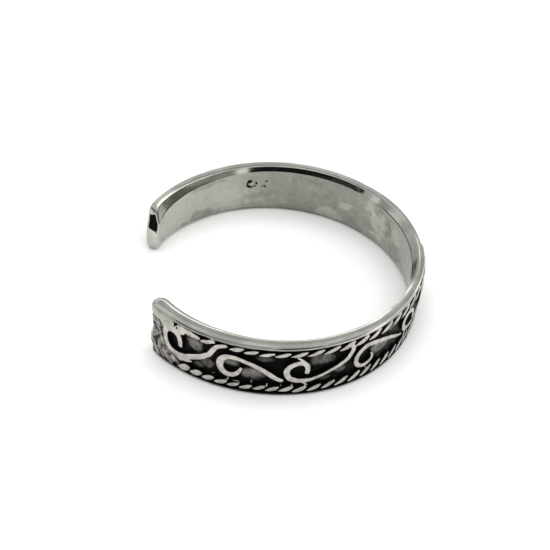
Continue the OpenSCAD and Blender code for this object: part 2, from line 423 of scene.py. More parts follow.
# Short sprigs that tie the scrolls to the ropes
SPRIGS = (
    Stroke(((-132.6, -0.64), (-130.0, -0.68), (-127.1, -0.6)), (0.13, 0.16, 0.06)),
    Stroke(((-134.0, -0.7), (-132.4, -0.86), (-130.6, -0.84)), (0.13, 0.11, 0.05), 0.9, 0.8),
    Stroke(((-112.6, -0.72), (-112.3, -0.95), (-113.2, -1.12)), (0.07, 0.05, 0.07), 0.7, 0.6),
    Stroke(((-86.8, 1.06), (-85.4, 0.92), (-83.9, 0.64)), (0.06, 0.1, 0.13)),
    Stroke(((-85.0, -0.7), (-83.6, -0.84), (-82.7, -0.97)), (0.1, 0.07, 0.05)),
    Stroke(((-83.4, -0.85), (-83.4, -1.1)), (0.05, 0.05), 0.9),
    Stroke(((-58.0, -0.75), (-57.6, -0.98)), (0.04, 0.04), 0.7, 0.7),
    Stroke(((-33.7, -0.35), (-33.4, -0.8), (-33.2, -1.05)), (0.11, 0.09, 0.1), 0.9),
    Stroke(((-97.6, -0.86), (-97.7, -1.08)), (0.035, 0.05), 0.7),
    Stroke(((-103.5, -0.78), (-103.5, -0.95)), (0.045, 0.04), 0.5, 0.6),
    Stroke(((-88.3, -0.9), (-88.4, -1.12)), (0.045, 0.06), 0.7),
    Stroke(((-92.6, -0.88), (-92.4, -1.08)), (0.04, 0.04), 0.5, 0.6),
    Stroke(((-110.6, -1.06), (-108.6, -1.02), (-107.9, -1.12)), (0.04, 0.06, 0.04), 0.5, 0.6),
    Stroke(((-118.8, -0.93), (-117.8, -0.84)), (0.04, 0.04), 0.5, 0.5),
)

# The first scroll grows out of a smooth worn mass of metal under the rim
WORN_MASS = (
    Stroke(((-149.6, 1.42), (-146.6, 1.38), (-143.5, 1.34), (-140.5, 1.28), (-137.4, 1.26)),
           (0.2, 0.27, 0.31, 0.36, 0.38)),
    Stroke(((-140.2, 1.05), (-137.6, 1.12), (-135.2, 1.14), (-132.9, 1.06)),
           (0.3, 0.34, 0.28, 0.15)),
    Stroke(((-133.4, 1.42), (-130.9, 1.39), (-127.6, 1.37), (-124.9, 1.33)),
           (0.18, 0.2, 0.2, 0.14)),
    Stroke(((-134.0, 1.3), (-132.0, 1.12), (-130.2, 1.3)), (0.16, 0.12, 0.08)),
)

# Cracks and hollows dug into the worn mass, their strength the depth
HOLLOWS = patches(
    (-135.6, 1.42, 0.5, 0.16, 0.08),
    (-134.5, 1.28, 0.35, 0.1, 0.07),
    (-130.4, 1.16, 0.6, 0.06, 0.07),
    (-143.2, 1.02, 0.5, 0.08, 0.05),
    (-128.3, 1.27, 0.35, 0.05, 0.05))


@dataclass(frozen=True)
class Rope:
    """A border of slanted lumps, like a twisted wire, whose pattern changes along the band."""

    start: float
    end: float
    seed: int
    # Columns: angle, middle height, rise over one lump, half width, pitch in degrees
    stations: Table
    # Half widths along a lump, as shares of the rope's there, and the usual half width
    profile: tuple[float, ...] = (0.3, 0.75, 1.0, 1.04, 0.66)
    usual_half: float = 0.147
    # A lump overhangs the rise at both ends
    overhang: float = 0.02

    def lumps(self) -> list[Stroke]:
        """Lays the rope's lumps, each a little unlike the next.

        Returns:
            The lumps, from the rope's start to its end.
        """
        rng = np.random.default_rng(self.seed)
        out = []
        a = self.start
        while a < self.end:
            z, rise, half, pitch = (float(table_at(a, self.stations, k)) for k in (1, 2, 3, 4))
            z += rng.uniform(-0.02, 0.02)
            half *= rng.uniform(0.9, 1.1)
            reach = pitch * rng.uniform(1.02, 1.1)
            cap = half / self.usual_half
            points = ((a + 0.1 + 0.25 * cap, z - rise / 2 - self.overhang),
                      (a + 0.5 * reach, z - rise * 0.1),
                      (a + reach - 0.1 - 0.6 * cap, z + rise / 2 + self.overhang))
            out.append(Stroke(points, tuple(half * share for share in self.profile),
                              rng.uniform(0.93, 1.02), rng.uniform(0.85, 1.0)))
            a += pitch
        return out


UPPER_ROPE = Rope(start=-112.7, end=1.0, seed=5, stations=(
    (-124.0, 1.38, 0.20, 0.155, 5.9),
    (-112.0, 1.35, 0.15, 0.152, 5.6),
    (-100.0, 1.27, 0.13, 0.145, 5.8),
    (-88.0, 1.28, 0.20, 0.155, 6.3),
    (-72.0, 1.29, 0.28, 0.165, 6.6),
    (-52.0, 1.30, 0.31, 0.165, 6.1),
    (4.0, 1.22, 0.31, 0.155, 6.0)))
LOWER_ROPE = Rope(start=-133.0, end=1.0, seed=8, stations=(
    (-133.0, -1.27, 0.2, 0.21, 5.2),
    (-112.0, -1.28, 0.18, 0.15, 4.8),
    (-100.0, -1.22, 0.20, 0.15, 4.9),
    (-88.0, -1.30, 0.24, 0.155, 5.4),
    (-72.0, -1.23, 0.34, 0.15, 5.7),
    (-55.0, -1.20, 0.44, 0.15, 5.2),
    (4.0, -1.22, 0.42, 0.15, 5.0)))
FIRST_LUMP = Stroke(((-123.3, 1.24), (-121.4, 1.31), (-119.0, 1.47)), (0.1, 0.155, 0.15))

# Places in the sunk ground where the dark finish is brushed through
WORN_GROUND = patches(
    (-127.0, 0.62, 3.6, 0.52, 0.75),
    (-121.2, -0.38, 2.8, 0.34, 0.50),
    (-124.5, -0.75, 2.6, 0.2, 0.35),
    (-111.3, 0.26, 3.1, 0.30, 0.85),
    (-103.2, -0.36, 5.0, 0.44, 0.8),
    (-98.8, 0.8, 3.6, 0.22, 0.30),
    (-76.4, 0.62, 4.6, 0.45, 0.55),
    (-69.2, -0.40, 2.6, 0.32, 0.55),
    (-75.5, -0.78, 2.4, 0.16, 0.30),
    (-50.2, -0.02, 6.2, 0.46, 0.95),
    (-42.5, 0.85, 4.0, 0.26, 0.55),
    (-33.0, 0.45, 2.6, 0.26, 0.35),
    (-24.0, 0.4, 4.0, 0.42, 0.50))


@dataclass(frozen=True)
class RoughCast:
    """The worn, pitted cast surface next to the ornamented tip."""

    grain: Grain
    # Where the rough metal ends. Columns: height along the axis, angle
    border: Table = (
        (-1.6, -133.2), (-1.2, -133.6), (-0.8, -135.6), (-0.5, -139.0), (0.2, -141.4),
        (0.85, -141.6), (1.1, -144.5), (1.3, -152.0))
    # The lumps and streaks lean along the band by this much for a millimetre of height
    slant: float = 0.3
    lumps: Mottle = Mottle(1.0, 3.4, 2.6, 3, (5.0, 11.0))
    streaks: Mottle = Mottle(1.0, 7.0, 3.6, 3, (1.7, 2.9))
    specks: Mottle = Mottle(1.0, 11.0, 10.0, 2, (9.1, 4.2))
    pits: Mottle = Mottle(1.0, 4.6, 3.9, 3, (2.2, 6.1))
    pitted: Patch = Patch(-147.5, 1.02, 2.6, 0.3)
    shadow: Patch = Patch(-142.6, 0.78, 1.0, 0.42)
    trough: Patch = Patch(-143.6, -0.1, 1.6, 0.9)
    base: tuple[float, float] = (0.13, 0.55)
    # What lumps, streaks, specks, shadow, trough and pits add; the shadow's polish is a painted shadow
    # over a shallow dip. Columns: height, polish
    adds: Table = (
        (0.045, 0.45), (0.015, 0.35), (0.008, 0.25), (-0.09, -0.6), (-0.05, -0.2), (-0.04, -0.5))
    rubbed: float = 0.55

    def mask(self, angle: Array, z: Array) -> Array:
        """1 where the surface is rough cast metal, 0 on the clean ornament."""
        return 1 - smoothstep(-0.7, 0.7, angle - table_at(z, self.border))

    def cast(self, angle: Array, x: Array, z: Array) -> tuple[Array, Array]:
        """Height and polish of the rough cast metal.

        Args:
            angle: Angles of the points.
            x: Places along the band in millimetres.
            z: Heights along the axis.

        Returns:
            Heights over the ground, and the polish, with painted shade towards the lower edge.
        """
        slanted = x + self.slant * z
        lumps = self.lumps.on(self.grain, slanted, z)
        streaks = self.streaks.on(self.grain, slanted, z)
        specks = self.specks.on(self.grain, x, z)
        pits = np.maximum(smoothstep(0.12, 0.45, self.pits.on(self.grain, x, z)),
                          self.pitted.cover(angle, z, (1.2, 0.5), 0.4 * specks))
        shadow = self.shadow.cover(angle, z, (1.3, 0.2))
        trough = self.trough.cover(angle, z, (1.2, 0.1))
        height, bright = self.base
        for part, (add_h, add_bright) in zip((lumps, streaks, specks, shadow, trough, pits),
                                             self.adds):
            height = height + add_h * part
            bright = bright + add_bright * part
        tip_edge = smoothstep(-148.8, -149.9, angle) * smoothstep(-1.1, -0.6, z)
        bright = bright * (1 - 0.7 * tip_edge) + self.rubbed * tip_edge
        # Painted shade: the rough metal darkens towards the lower edge
        low = smoothstep(-1.42, -1.66, z + 0.15 * lumps)
        return height * (1 - 0.5 * low), np.clip(bright, 0.02, 0.95) * (1 - 0.9 * low)


@dataclass(frozen=True)
class Ornament:
    """The cast layer on the outer face: lips, ropes, scrolls, ground and the rough tip."""

    form: BandForm
    grain: Grain = Grain(SEED)
    rough: RoughCast = RoughCast(grain)
    name: str = "ornament_layer"
    relief_h: float = 0.2
    # A wire's wall rises across its outline over this span, up to a flat with a low dome
    wall_span: tuple[float, float] = (-0.035, 0.03)
    flat_h: float = 0.95
    dome_h: float = 0.07
    dome_w: float = 0.16
    dents: Mottle = Mottle(0.03, 7.0, 7.0, 2)
    # The outline runs a little outside the drawn one and waves as hand-laid wire does
    outline_out: float = 0.013
    outline_wave: float = 0.016
    outline_waves_per_mm: float = 4.5
    lip_wave: float = 0.012
    lip_waves_per_mm: float = 3.0
    lip_span: tuple[float, float] = (-0.03, 0.02)
    low_lip_span: tuple[float, float] = (0.09, 0.04)
    # The distance inside an outline is kept up to here
    far_edge: float = 0.12
    hollow_rag: Mottle = Mottle(0.25, 6.0, 6.0, 2)
    ground_rag: Mottle = Mottle(0.009, 5.0, 5.0)
    # The worn mass is buffed from this place on, towards the tip and the rim
    mass: Patch = Patch(-143.0, 1.35, 9.5, 0.5)
    mass_rag: Mottle = Mottle(0.1, 4.0, 4.0)
    # Painted shade in soft darker patches on the buffed mass
    mass_shade: Mottle = Mottle(1.0, 2.7, 3.1)
    worn_rag: Mottle = Mottle(0.3, 3.4, 3.4, 3, (3.0, 0.0))
    worn_base: float = 0.38
    worn_streaks: tuple[Mottle, ...] = (Mottle(0.2, 13.0, 3.0), Mottle(0.2, 6.0, 6.0))
    column_step: float = 0.031
    n_rows: int = 106
    n_tip_columns: int = 16
    # The sheet's edges are tucked into the band by the skirts
    skirt: float = 0.12
    tip_skirt: float = 0.2
    skirt_z: float = 0.02
    clearance: float = 0.004

    def strokes(self) -> list[Stroke]:
        """Every raised wire and lump of the ornament."""
        ropes = [*UPPER_ROPE.lumps(), *LOWER_ROPE.lumps()]
        return [*SCROLLS, *SPRIGS, *WORN_MASS, FIRST_LUMP, *ropes]

    def raise_stroke(self, stroke: Stroke, x: Array, z: Array, height: Array, edge: Array,
                     bright: Array) -> None:
        """Raises the ground along one stroke, in place.

        Args:
            stroke: The wire or lump.
            x: Places along the band in millimetres.
            z: Places along the axis.
            height: Heights over the ground, changed here.
            edge: Distance inside the outlines of the wires, changed here.
            bright: Brightness of the nearest wire, changed here.
        """
        line, half = stroke.line(self.form.mm_per_degree)
        reach = max(stroke.half_widths) + 0.06
        inside = ((x > line[:, 0].min() - reach) & (x < line[:, 0].max() + reach)
                  & (z > line[:, 1].min() - reach) & (z < line[:, 1].max() + reach))
        px, pz = x[inside], z[inside]
        depth = np.full(px.shape, -1.0)
        for i in range(len(line) - 1):
            along = line[i + 1] - line[i]
            t = ((px - line[i, 0]) * along[0] + (pz - line[i, 1]) * along[1]) / (along @ along + 1e-12)
            t = np.clip(t, 0, 1)
            away = np.hypot(px - line[i, 0] - t * along[0], pz - line[i, 1] - t * along[1])
            depth = np.maximum(depth, half[i] + (half[i + 1] - half[i]) * t - away)
        waves = self.grain.at(px * self.outline_waves_per_mm, pz * self.outline_waves_per_mm)
        depth = depth + self.outline_out + self.outline_wave * waves
        dome = self.dome_h * np.clip(depth / self.dome_w, 0, 1)
        flat = self.flat_h + self.dents.on(self.grain, px, pz)
        lifted = stroke.height * (smoothstep(*self.wall_span, depth) * flat + dome)
        height[inside] = np.maximum(height[inside], self.relief_h * lifted)
        bright[inside] = np.where(depth > edge[inside], stroke.bright, bright[inside])
        edge[inside] = np.maximum(edge[inside], depth)

    def surface(self, angle: Array, z: Array, top: Array) -> tuple[Array, dict[str, Array]]:
        """Height over the ground and finish of the layer's outer face.

        Args:
            angle: Angles of the points.
            z: Heights along the axis.
            top: Height of the face's upper edge at each point.

        Returns:
            Heights over the ground, and the finish: distance inside the outlines of the wires, their
                brightness with painted shade on the buffed mass, the brightness between them and how
                far the metal is buffed.
        """
        form, grain = self.form, self.grain
        x = angle * form.mm_per_degree
        height = np.zeros(x.shape)
        edge = np.full(x.shape, -self.far_edge)
        bright = np.ones(x.shape)
        for stroke in self.strokes():
            self.raise_stroke(stroke, x, z, height, edge, bright)
        for hollow in HOLLOWS:
            dug = hollow.cover(angle, z, (1.3, 0.4), self.hollow_rag.on(grain, x, z))
            height -= hollow.strength * dug * (height > 0.1)
            edge = np.where(dug > 0, np.minimum(edge, 0.07 - 0.09 * dug), edge)
        lip = form.lip_w + self.lip_wave * grain.at(x * self.lip_waves_per_mm, z * 0) - (top - z)
        height = np.maximum(height, form.sink * smoothstep(*self.lip_span, lip))
        edge = np.maximum(edge, lip + 0.02)
        ground = smoothstep(0.08, 0.02, height)
        low_lip = smoothstep(*self.low_lip_span, z + form.half_w - form.lip_round_h)
        height = np.maximum(height, form.sink * low_lip)
        height = height + self.ground_rag.on(grain, x, z) * ground
        height, between = self.roughened(angle, x, z, height)
        buffed = self.mass.cover(np.maximum(angle, self.mass.angle), np.minimum(z, self.mass.z),
                                 (1.15, 0.6), self.mass_rag.on(grain, x, z))
        # Painted shade in soft darker patches on the buffed mass
        shaded = smoothstep(-0.1, 0.6, self.mass_shade.on(grain, x, z))
        return height, {"edge": np.clip(edge, -self.far_edge, self.far_edge),
                        "bright": bright * (1 - 0.34 * buffed * shaded),
                        "between": between, "buffed": buffed}

    def worn_ground(self, angle: Array, x: Array, z: Array) -> Array:
        """Brushes the dark finish of the ground through in places.

        Args:
            angle: Angles of the points.
            x: Places along the band.
            z: Heights along the axis.

        Returns:
            How far the metal shows through, from 0 to 1.
        """
        ragged = self.worn_rag.on(self.grain, x, z)
        worn = np.zeros(x.shape)
        for patch in WORN_GROUND:
            cover = patch.cover(angle, z, (1.15, 0.55), ragged)
            worn = np.maximum(worn, patch.strength * cover)
        streaks = self.worn_base
        for mottle in self.worn_streaks:
            streaks = streaks + mottle.on(self.grain, x, z)
        return np.clip(worn * streaks, 0, 1)

    def roughened(self, angle: Array, x: Array, z: Array, height: Array) -> tuple[Array, Array]:
        """Blends in the rough cast tip.

        Args:
            angle: Angles of the points.
            x: Places along the band.
            z: Heights along the axis.
            height: Heights over the ground.

        Returns:
            The heights with the rough tip, and the brightness between the wires.
        """
        cast_h, cast_bright = self.rough.cast(angle, x, z)
        mask = self.rough.mask(angle, z)
        cast = mask * (1 - smoothstep(0.1, 0.17, height))
        between = self.worn_ground(angle, x, z) * (1 - mask) + cast_bright * mask
        return height * (1 - cast) + cast_h * cast, between

    def build(self) -> bpy.types.Object:
        """Makes the layer's sheet, its edges tucked into the band.

        Returns:
            The object.
        """
        form = self.form
        start, length = -form.tip_a, NEAR_TIP.length / form.mm_per_degree
        turn = np.linspace(0, math.pi / 2, self.n_tip_columns, endpoint=False)
        count = int((form.layer_end - start - length) * form.mm_per_degree / self.column_step)
        angle = np.concatenate([start + length * (1 - np.cos(turn)),
                                np.linspace(start + length, form.layer_end, count)])
        top = form.rim_z(angle) - form.lip_round_h
        bottom = -(form.half_w - form.lip_round_h)
        z = top + (bottom - top) * np.linspace(0, 1, self.n_rows)[:, None]
        nominal = np.broadcast_to(angle, z.shape)
        height, finish = self.surface(nominal, z, np.broadcast_to(top, z.shape))
        ground = form.outer_r(angle) + self.clearance
        radius = form.leaned(angle, ground + (height - form.sink) * form.layer(angle), z)
        radius = np.vstack([radius[:1] - self.skirt, radius, radius[-1:] - self.skirt])
        z = np.vstack([z[:1] + self.skirt_z, z, z[-1:] - self.skirt_z])
        radius = np.hstack([radius[:, :1] - self.tip_skirt, radius, radius[:, -1:] - self.skirt])
        z = np.hstack([z[:, :1], z, z[:, -1:]])
        nominal = np.broadcast_to(np.pad(angle, 1, mode="edge"), z.shape)
        radius, z, turned = NEAR_TIP.shape(form, radius, z, nominal)
        values = {key: np.pad(value, 1, mode="edge") for key, value in finish.items()}
        return Skin(radius, z, turned, values).mesh(self.name, form, closed=False)

    @staticmethod
    def dress(layer: bpy.types.Object) -> None:
        """Gives the layer its finish."""
        layer.data.materials.append(DarkenedRelief().build())


def place_object(name: str, data: bpy.types.ID) -> bpy.types.Object:
    """Makes an object of a mesh, camera or lamp and links it to the scene.

    Args:
        name: The object's name.
        data: What it shows.

    Returns:
        The object.
    """
    made = bpy.data.objects.new(name, data)
    bpy.context.scene.collection.objects.link(made)
    return made


@dataclass
class Skin:
    """A surface given as a grid: rows round the section, columns along the band."""

    radius: Array
    z: Array
    angle: Array
    values: dict[str, Array]

    def points(self) -> Array:
        """The grid's points in millimetres, one row for each column of the grid."""
        turn = np.radians(self.angle.T)
        return np.stack([self.radius.T * np.cos(turn), self.radius.T * np.sin(turn), self.z.T],
                        axis=-1)

    def mesh(self, name: str, form: BandForm, closed: bool) -> bpy.types.Object:
        """Makes the object, with the values as attributes and coordinates in millimetres.

        Args:
            name: Name of the piece.
            form: The band's sizes.
            closed: Whether the section is a closed ring, which also closes both tips.

        Returns:
            The object.
        """
        points = self.points()
        n_cols, n_rows = points.shape[:2]
        vertices = points.reshape(-1, 3)
        faces = self.quads(n_cols, n_rows, closed)
        values = {key: value.T.reshape(-1) for key, value in self.values.items()}
        across = np.concatenate([np.zeros((n_cols, 1)), np.cumsum(
            np.linalg.norm(np.diff(points, axis=1), axis=2), axis=1)], axis=1).reshape(-1)
        along = self.angle.T.reshape(-1) * form.mm_per_degree
        if closed:
            vertices = np.vstack([vertices, points[0].mean(axis=0), points[-1].mean(axis=0)])
            last, total = (n_cols - 1) * n_rows, n_cols * n_rows
            j = np.arange(n_rows)
            k = (j + 1) % n_rows
            faces += np.stack([np.full(n_rows, total), k, j], axis=-1).tolist()
            faces += np.stack([np.full(n_rows, total + 1), last + j, last + k], axis=-1).tolist()
            values = {key: np.append(value, [0.0, 0.0]) for key, value in values.items()}
            across = np.append(across, [0.0, 0.0])
            along = np.append(along, [along[0], along[-1]])
        mesh = bpy.data.meshes.new(name)
        mesh.from_pydata((vertices * MM).tolist(), [], faces)
        for key, value in values.items():
            layer = mesh.attributes.new(key, "FLOAT", "POINT")
            layer.data.foreach_set("value", value.astype(np.float32))
        flat = np.stack([along, across], axis=-1)
        loops = np.zeros(len(mesh.loops), int)
        mesh.loops.foreach_get("vertex_index", loops)
        uv = mesh.uv_layers.new(name="millimetres")
        uv.data.foreach_set("uv", flat[loops].astype(np.float32).reshape(-1))
        mesh.polygons.foreach_set("use_smooth", np.ones(len(mesh.polygons), bool))
        mesh.update()
        return place_object(name, mesh)

    @staticmethod
    def quads(n_cols: int, n_rows: int, closed: bool) -> list[list[int]]:
        """Quads between the columns, facing outward.

        Args:
            n_cols: Columns of the grid.
            n_rows: Rows of the grid.
            closed: Whether the last row joins the first.

        Returns:
            The faces.
        """
        span = n_rows if closed else n_rows - 1
        i, j = np.meshgrid(np.arange(n_cols - 1), np.arange(span), indexing="ij")
        k = (j + 1) % n_rows
        return np.stack([i * n_rows + j, i * n_rows + k, (i + 1) * n_rows + k,
                         (i + 1) * n_rows + j], axis=-1).reshape(-1, 4).tolist()


@dataclass(frozen=True)
class PunchMark:
    """A worn oval, dash and dot without letters inside the shank, where the photo has a stamp."""

    angle: float = 93.9
    z: float = 0.26
    half_a: float = 5.4
    half_z: float = 0.36
    depth: float = 0.03
    wear: Mottle = Mottle(1.1, 1.1, 8.0, 3, (3.0, 1.0))
    # The oval and the two spots, in shares of the mark's half sizes.
    # Columns: place along, place up, half length, half height
    oval: tuple[float, float, float, float] = (0.46, 0.0, 0.5, 0.85)
    # Where the ring runs, as a share of the oval, and its half width
    ring: tuple[float, float] = (0.75, 0.34)
    spots: Table = (
        (-0.5, -0.5, 0.46, 0.36), (-0.66, 0.55, 0.28, 0.32))

    def dent(self, grain: Grain, angle: Array, z: Array) -> tuple[Array, Array]:
        """Depth and darkness of the mark.

        Args:
            grain: Noise that wears it.
            angle: Angles of the points.
            z: Heights of the points.

        Returns:
            Depth in millimetres and darkness from 0 to 1.
        """
        u = (angle - self.angle) / self.half_a
        v = (z - self.z) / self.half_z
        oval, *spots = (np.hypot((u - a) / half_u, (v - b) / half_v)
                        for a, b, half_u, half_v in (self.oval, *self.spots))
        middle, width = self.ring
        shape = 1 - np.abs(oval - middle) / width
        for spot in spots:
            shape = np.maximum(shape, 1 - spot)
        square = np.abs(u) ** 4 + np.abs(v) ** 4
        cut = smoothstep(0.0, 0.7, shape - 0.08 + self.wear.on(grain, angle, z))
        cut = cut * smoothstep(1.3, 0.9, square)
        field = smoothstep(1.06, 0.9, square)
        return self.depth * (0.2 * field + cut), 0.12 * field + 0.7 * cut


# Painted reflections on the shank's inside, as the photo shows them: its tone along the band, and its
# paler and darker places.
# Columns: angle, tone
PAINTED_INSIDE_REFLECTION = ((-150.0, 0.6), (-20.0, 0.6), (5.0, 0.62), (25.0, 0.5), (45.0, 0.36), (60.0, 0.28),
               (85.0, 0.3), (95.0, 0.42), (106.0, 0.6), (120.0, 0.68), (135.0, 0.85), (150.0, 0.85))
PAINTED_PALE_REFLECTIONS = patches(
    (107.0, -0.5, 10.0, 0.75, 0.14),
    (88.0, -1.05, 9.0, 0.28, 0.14),
    (61.0, -1.12, 6.5, 0.4, 0.34),
    (53.5, -0.3, 3.6, 0.3, 0.34),
    (39.5, 0.7, 3.0, 0.5, 0.28),
    (34.0, -0.2, 5.6, 0.85, 0.3),
    (36.0, -1.1, 6.0, 0.22, 0.2),
    (20.0, 0.3, 3.6, 0.5, 0.2))
PAINTED_DARK_REFLECTIONS = patches(
    (121.0, -1.22, 7.5, 0.36, 0.32),
    (117.5, 0.82, 8.0, 0.2, 0.25),
    (146.0, -1.1, 2.0, 0.4, 0.2),
    (72.0, 0.8, 9.0, 0.22, 0.1),
    (92.0, -0.6, 5.0, 0.2, 0.1),
    (34.0, 0.98, 4.0, 0.2, 0.2),
    (27.3, 0.1, 2.3, 0.85, 0.24),
    (22.0, -0.9, 6.0, 0.5, 0.16),
    (33.6, -0.3, 0.6, 0.3, 0.25),
    (37.5, -0.75, 0.5, 0.2, 0.15))


@dataclass(frozen=True)
class ShankBand:
    """The plain bent band with its bevelled rims, which carries the ornament on one half."""

    form: BandForm
    grain: Grain = Grain(SEED + 1)
    mark: PunchMark = PunchMark()
    name: str = "shank_band"
    n_tip_columns: int = 14
    fine_step: float = 0.1
    # The columns are this close around the layer's end, over this span of degrees
    end_step: float = 0.03
    end_span: tuple[float, float] = (-2.0, 0.5)
    mark_step: float = 0.042
    mark_reach: float = 6.0
    # Rows of the inner wall: even ones up to a share of its height, then closer ones
    n_even_rows: int = 40
    even_share: float = 0.96
    close_rows: tuple[float, ...] = (0.973, 0.984, 0.992, 1.0)
    # Rows of the upper rim, as shares of the bevel's width, the crown's and the rounding's turn
    bevel_rows: tuple[float, ...] = (0.06, 0.14, 0.3, 0.6, 0.9, 0.97)
    crown_rows: tuple[float, ...] = (0.02, 0.1, 0.2, 0.32, 0.45, 0.6, 0.75, 0.9)
    seam_rows: tuple[float, ...] = (0.56, 0.68, 0.8)
    round_rows: tuple[float, ...] = (0.0, 0.15, 0.3, 0.44, 0.52, *seam_rows, 0.84, 0.92, 1.0)
    n_face_rows: int = 30
    # Rows of the lower rim: the rounding outside, then the edge to the inner wall
    n_low_round: int = 9
    low_rows: int = 9
    # The band's face lies this deep under the ornament's ground
    under: float = 0.03
    # The crease is the wall's last row; these rows get its painted shade. Columns: row counted from
    # the bevel's first, darkness
    crease_rows: tuple[tuple[int, float], ...] = ((-2, 0.62), (-1, 1.0), (0, 0.8))
    # How far each of the seam's rows is open, and how far in and down an open one is moved
    seam_parts: tuple[float, ...] = (0.35, 1.0, 0.35)
    seam_depth: float = 0.02
    seam_drop: float = 0.03
    # How dark the painted shade in the crease under the bevel is along the band. Columns: angle,
    # darkness
    crease: Table = (
        (-150.0, 0.6), (-40.0, 0.8), (-8.0, 1.0), (28.0, 1.0), (36.0, 0.5), (48.0, 0.25),
        (100.0, 0.25), (112.0, 0.45), (120.0, 0.9), (146.0, 1.0), (148.5, 0.3), (150.5, 0.0))
    # How far the seam over the ornamental layer is open, and how dark its painted shadow is. Columns:
    # angle, strength
    seam: Table = (
        (-150.0, 0.0), (-138.0, 0.0), (-135.0, 0.9), (-124.0, 0.9), (-116.0, 0.35),
        (-100.0, 0.2), (-92.0, 0.95), (-78.0, 0.85), (-74.0, 0.2), (-40.0, 0.15), (4.0, 0.0))
    bends: Mottle = Mottle(0.006, 0.4, 1.0)
    rim_waves: Mottle = Mottle(0.006, 0.7, 1.0)
    blotches: Mottle = Mottle(0.85, 2.9, 2.9, 4)
    # Rings of the domes over the tips, as shares of the section's size
    cap_rings: tuple[float, ...] = (0.98, 0.92, 0.84, 0.74, 0.5, 0.2, 0.02, 0.004)
    plain_tone: float = 0.5

    @property
    def n_wall(self) -> int:
        """Rows of the inner wall, of which the last is the crease."""
        return self.n_even_rows + len(self.close_rows)

    def columns(self) -> Array:
        """Spaces the grid's columns, closer at the tips, the layer's end and the mark.

        Returns:
            Angles of the columns.
        """
        form = self.form
        k = form.mm_per_degree
        near = -form.tip_a + NEAR_TIP.length / k
        far = form.tip_a - FAR_TIP.length / k
        turn = 1 - np.cos(np.linspace(0, math.pi / 2, self.n_tip_columns, endpoint=False))
        stops = (near, *(form.layer_end + a for a in self.end_span),
                 self.mark.angle - self.mark_reach, self.mark.angle + self.mark_reach, far)
        steps = (self.fine_step, self.end_step, self.fine_step, self.mark_step, self.fine_step)
        spans = [np.linspace(a, b, int((b - a) * k / step), endpoint=False)
                 for a, b, step in zip(stops, stops[1:], steps)]
        return np.concatenate([-form.tip_a + (near + form.tip_a) * turn, *spans,
                               (form.tip_a - (form.tip_a - far) * turn)[::-1]])

    def upper_rim(self, angle: Array) -> tuple[Array, Array]:
        """Section of the upper rim, from the crease over the bevel and crown to the outer face.

        Args:
            angle: Angles of the columns.

        Returns:
            Radii and heights.
        """
        form = self.form
        top, foot = form.rim_z(angle), table_at(angle, form.bevel)
        bevel_w, drop, crown_w, power = (table_at(angle, form.crown, k) for k in (1, 2, 3, 4))
        edge_r = form.bore_r + bevel_w
        inner = edge_r + crown_w
        bevel, crown = (np.array(rows)[:, None] for rows in (self.bevel_rows, self.crown_rows))
        turn = np.array(self.round_rows)[:, None] * math.pi / 2
        radius = np.vstack([form.bore_r + bevel_w * bevel, edge_r + crown_w * crown,
                            inner + (form.outer_r(angle) - inner) * np.sin(turn)])
        z = np.vstack([top - foot + (foot - drop) * bevel, top - drop * (1 - crown)**power,
                       top - form.round_h(angle) * (1 - np.cos(turn))])
        return radius, z

    def lower_rim(self, angle: Array) -> tuple[Array, Array]:
        """Section of the lower rim, from the outer face under the flat to the inner wall.

        Args:
            angle: Angles of the columns.

        Returns:
            Radii and heights.
        """
        form = self.form
        inner = form.bore_r + form.low_flat
        turn = np.linspace(1, 0, self.n_low_round)[:, None] * math.pi / 2
        round_r = inner + (form.outer_r(angle) - inner) * np.sin(turn)
        round_z = -form.half_w + form.round_h(angle) * (1 - np.cos(turn))
        turn = np.linspace(0, 1, self.low_rows, endpoint=False)[:, None] * math.pi / 2 + 0 * angle
        edge_r = form.bore_r + form.low_edge_w * (1 - np.sin(turn))
        edge_z = -form.half_w + form.low_edge_h * (1 - np.cos(turn))
        return np.vstack([round_r, edge_r]), np.vstack([round_z, edge_z])

    def section(self, angle: Array) -> Skin:
        """Lays the section's rows: inner wall, upper rim, outer face and lower rim.

        Args:
            angle: Angles of the columns.

        Returns:
            The skin, with its finish values still even.
        """
        form = self.form
        up_r, up_z = self.upper_rim(angle)
        low_r, low_z = self.lower_rim(angle)
        low = -form.half_w + form.low_edge_h
        crease_z = form.rim_z(angle) - table_at(angle, form.bevel)
        even = np.linspace(0, self.even_share, self.n_even_rows)
        wall_z = low + (crease_z - low) * np.append(even, self.close_rows)[:, None]
        face_z = up_z[-1] + (low_z[0] - up_z[-1]) * np.linspace(0, 1, self.n_face_rows)[1:-1, None]
        face_r = form.outer_r(angle) - (form.sink + self.under) * form.layer(angle) + 0 * face_z
        z = np.vstack([wall_z, up_z, face_z, low_z])
        radius = np.vstack([np.full(wall_z.shape, form.bore_r), up_r, face_r, low_r])
        values = {"shade_and_stain": np.zeros(z.shape), "tone_and_reflection": np.full(z.shape, self.plain_tone),
                  "lined": np.ones(z.shape)}
        return Skin(form.leaned(angle, radius, z), z, np.broadcast_to(angle, z.shape), values)

    def open_seam_and_paint_shade(self, skin: Skin) -> None:
        """Paints shade along the crease and the layer's lower lip, and opens the seam over the layer,
        with painted shadow in it.

        Args:
            skin: The band's skin, changed here.
        """
        angle, shade_and_stain = skin.angle[0], skin.values["shade_and_stain"]
        layer = self.form.layer(angle)
        # Painted shade: a dark line along the crease
        for row, part in self.crease_rows:
            shade_and_stain[self.n_wall + row] = part * table_at(angle, self.crease)
        opened = table_at(angle, self.seam) * layer
        first = self.n_wall + len(self.bevel_rows) + len(self.crown_rows)
        for turn, part in zip(self.seam_rows, self.seam_parts):
            row = first + self.round_rows.index(turn)
            skin.radius[row] -= self.seam_depth * opened * part
            skin.z[row] -= self.seam_drop * opened * part
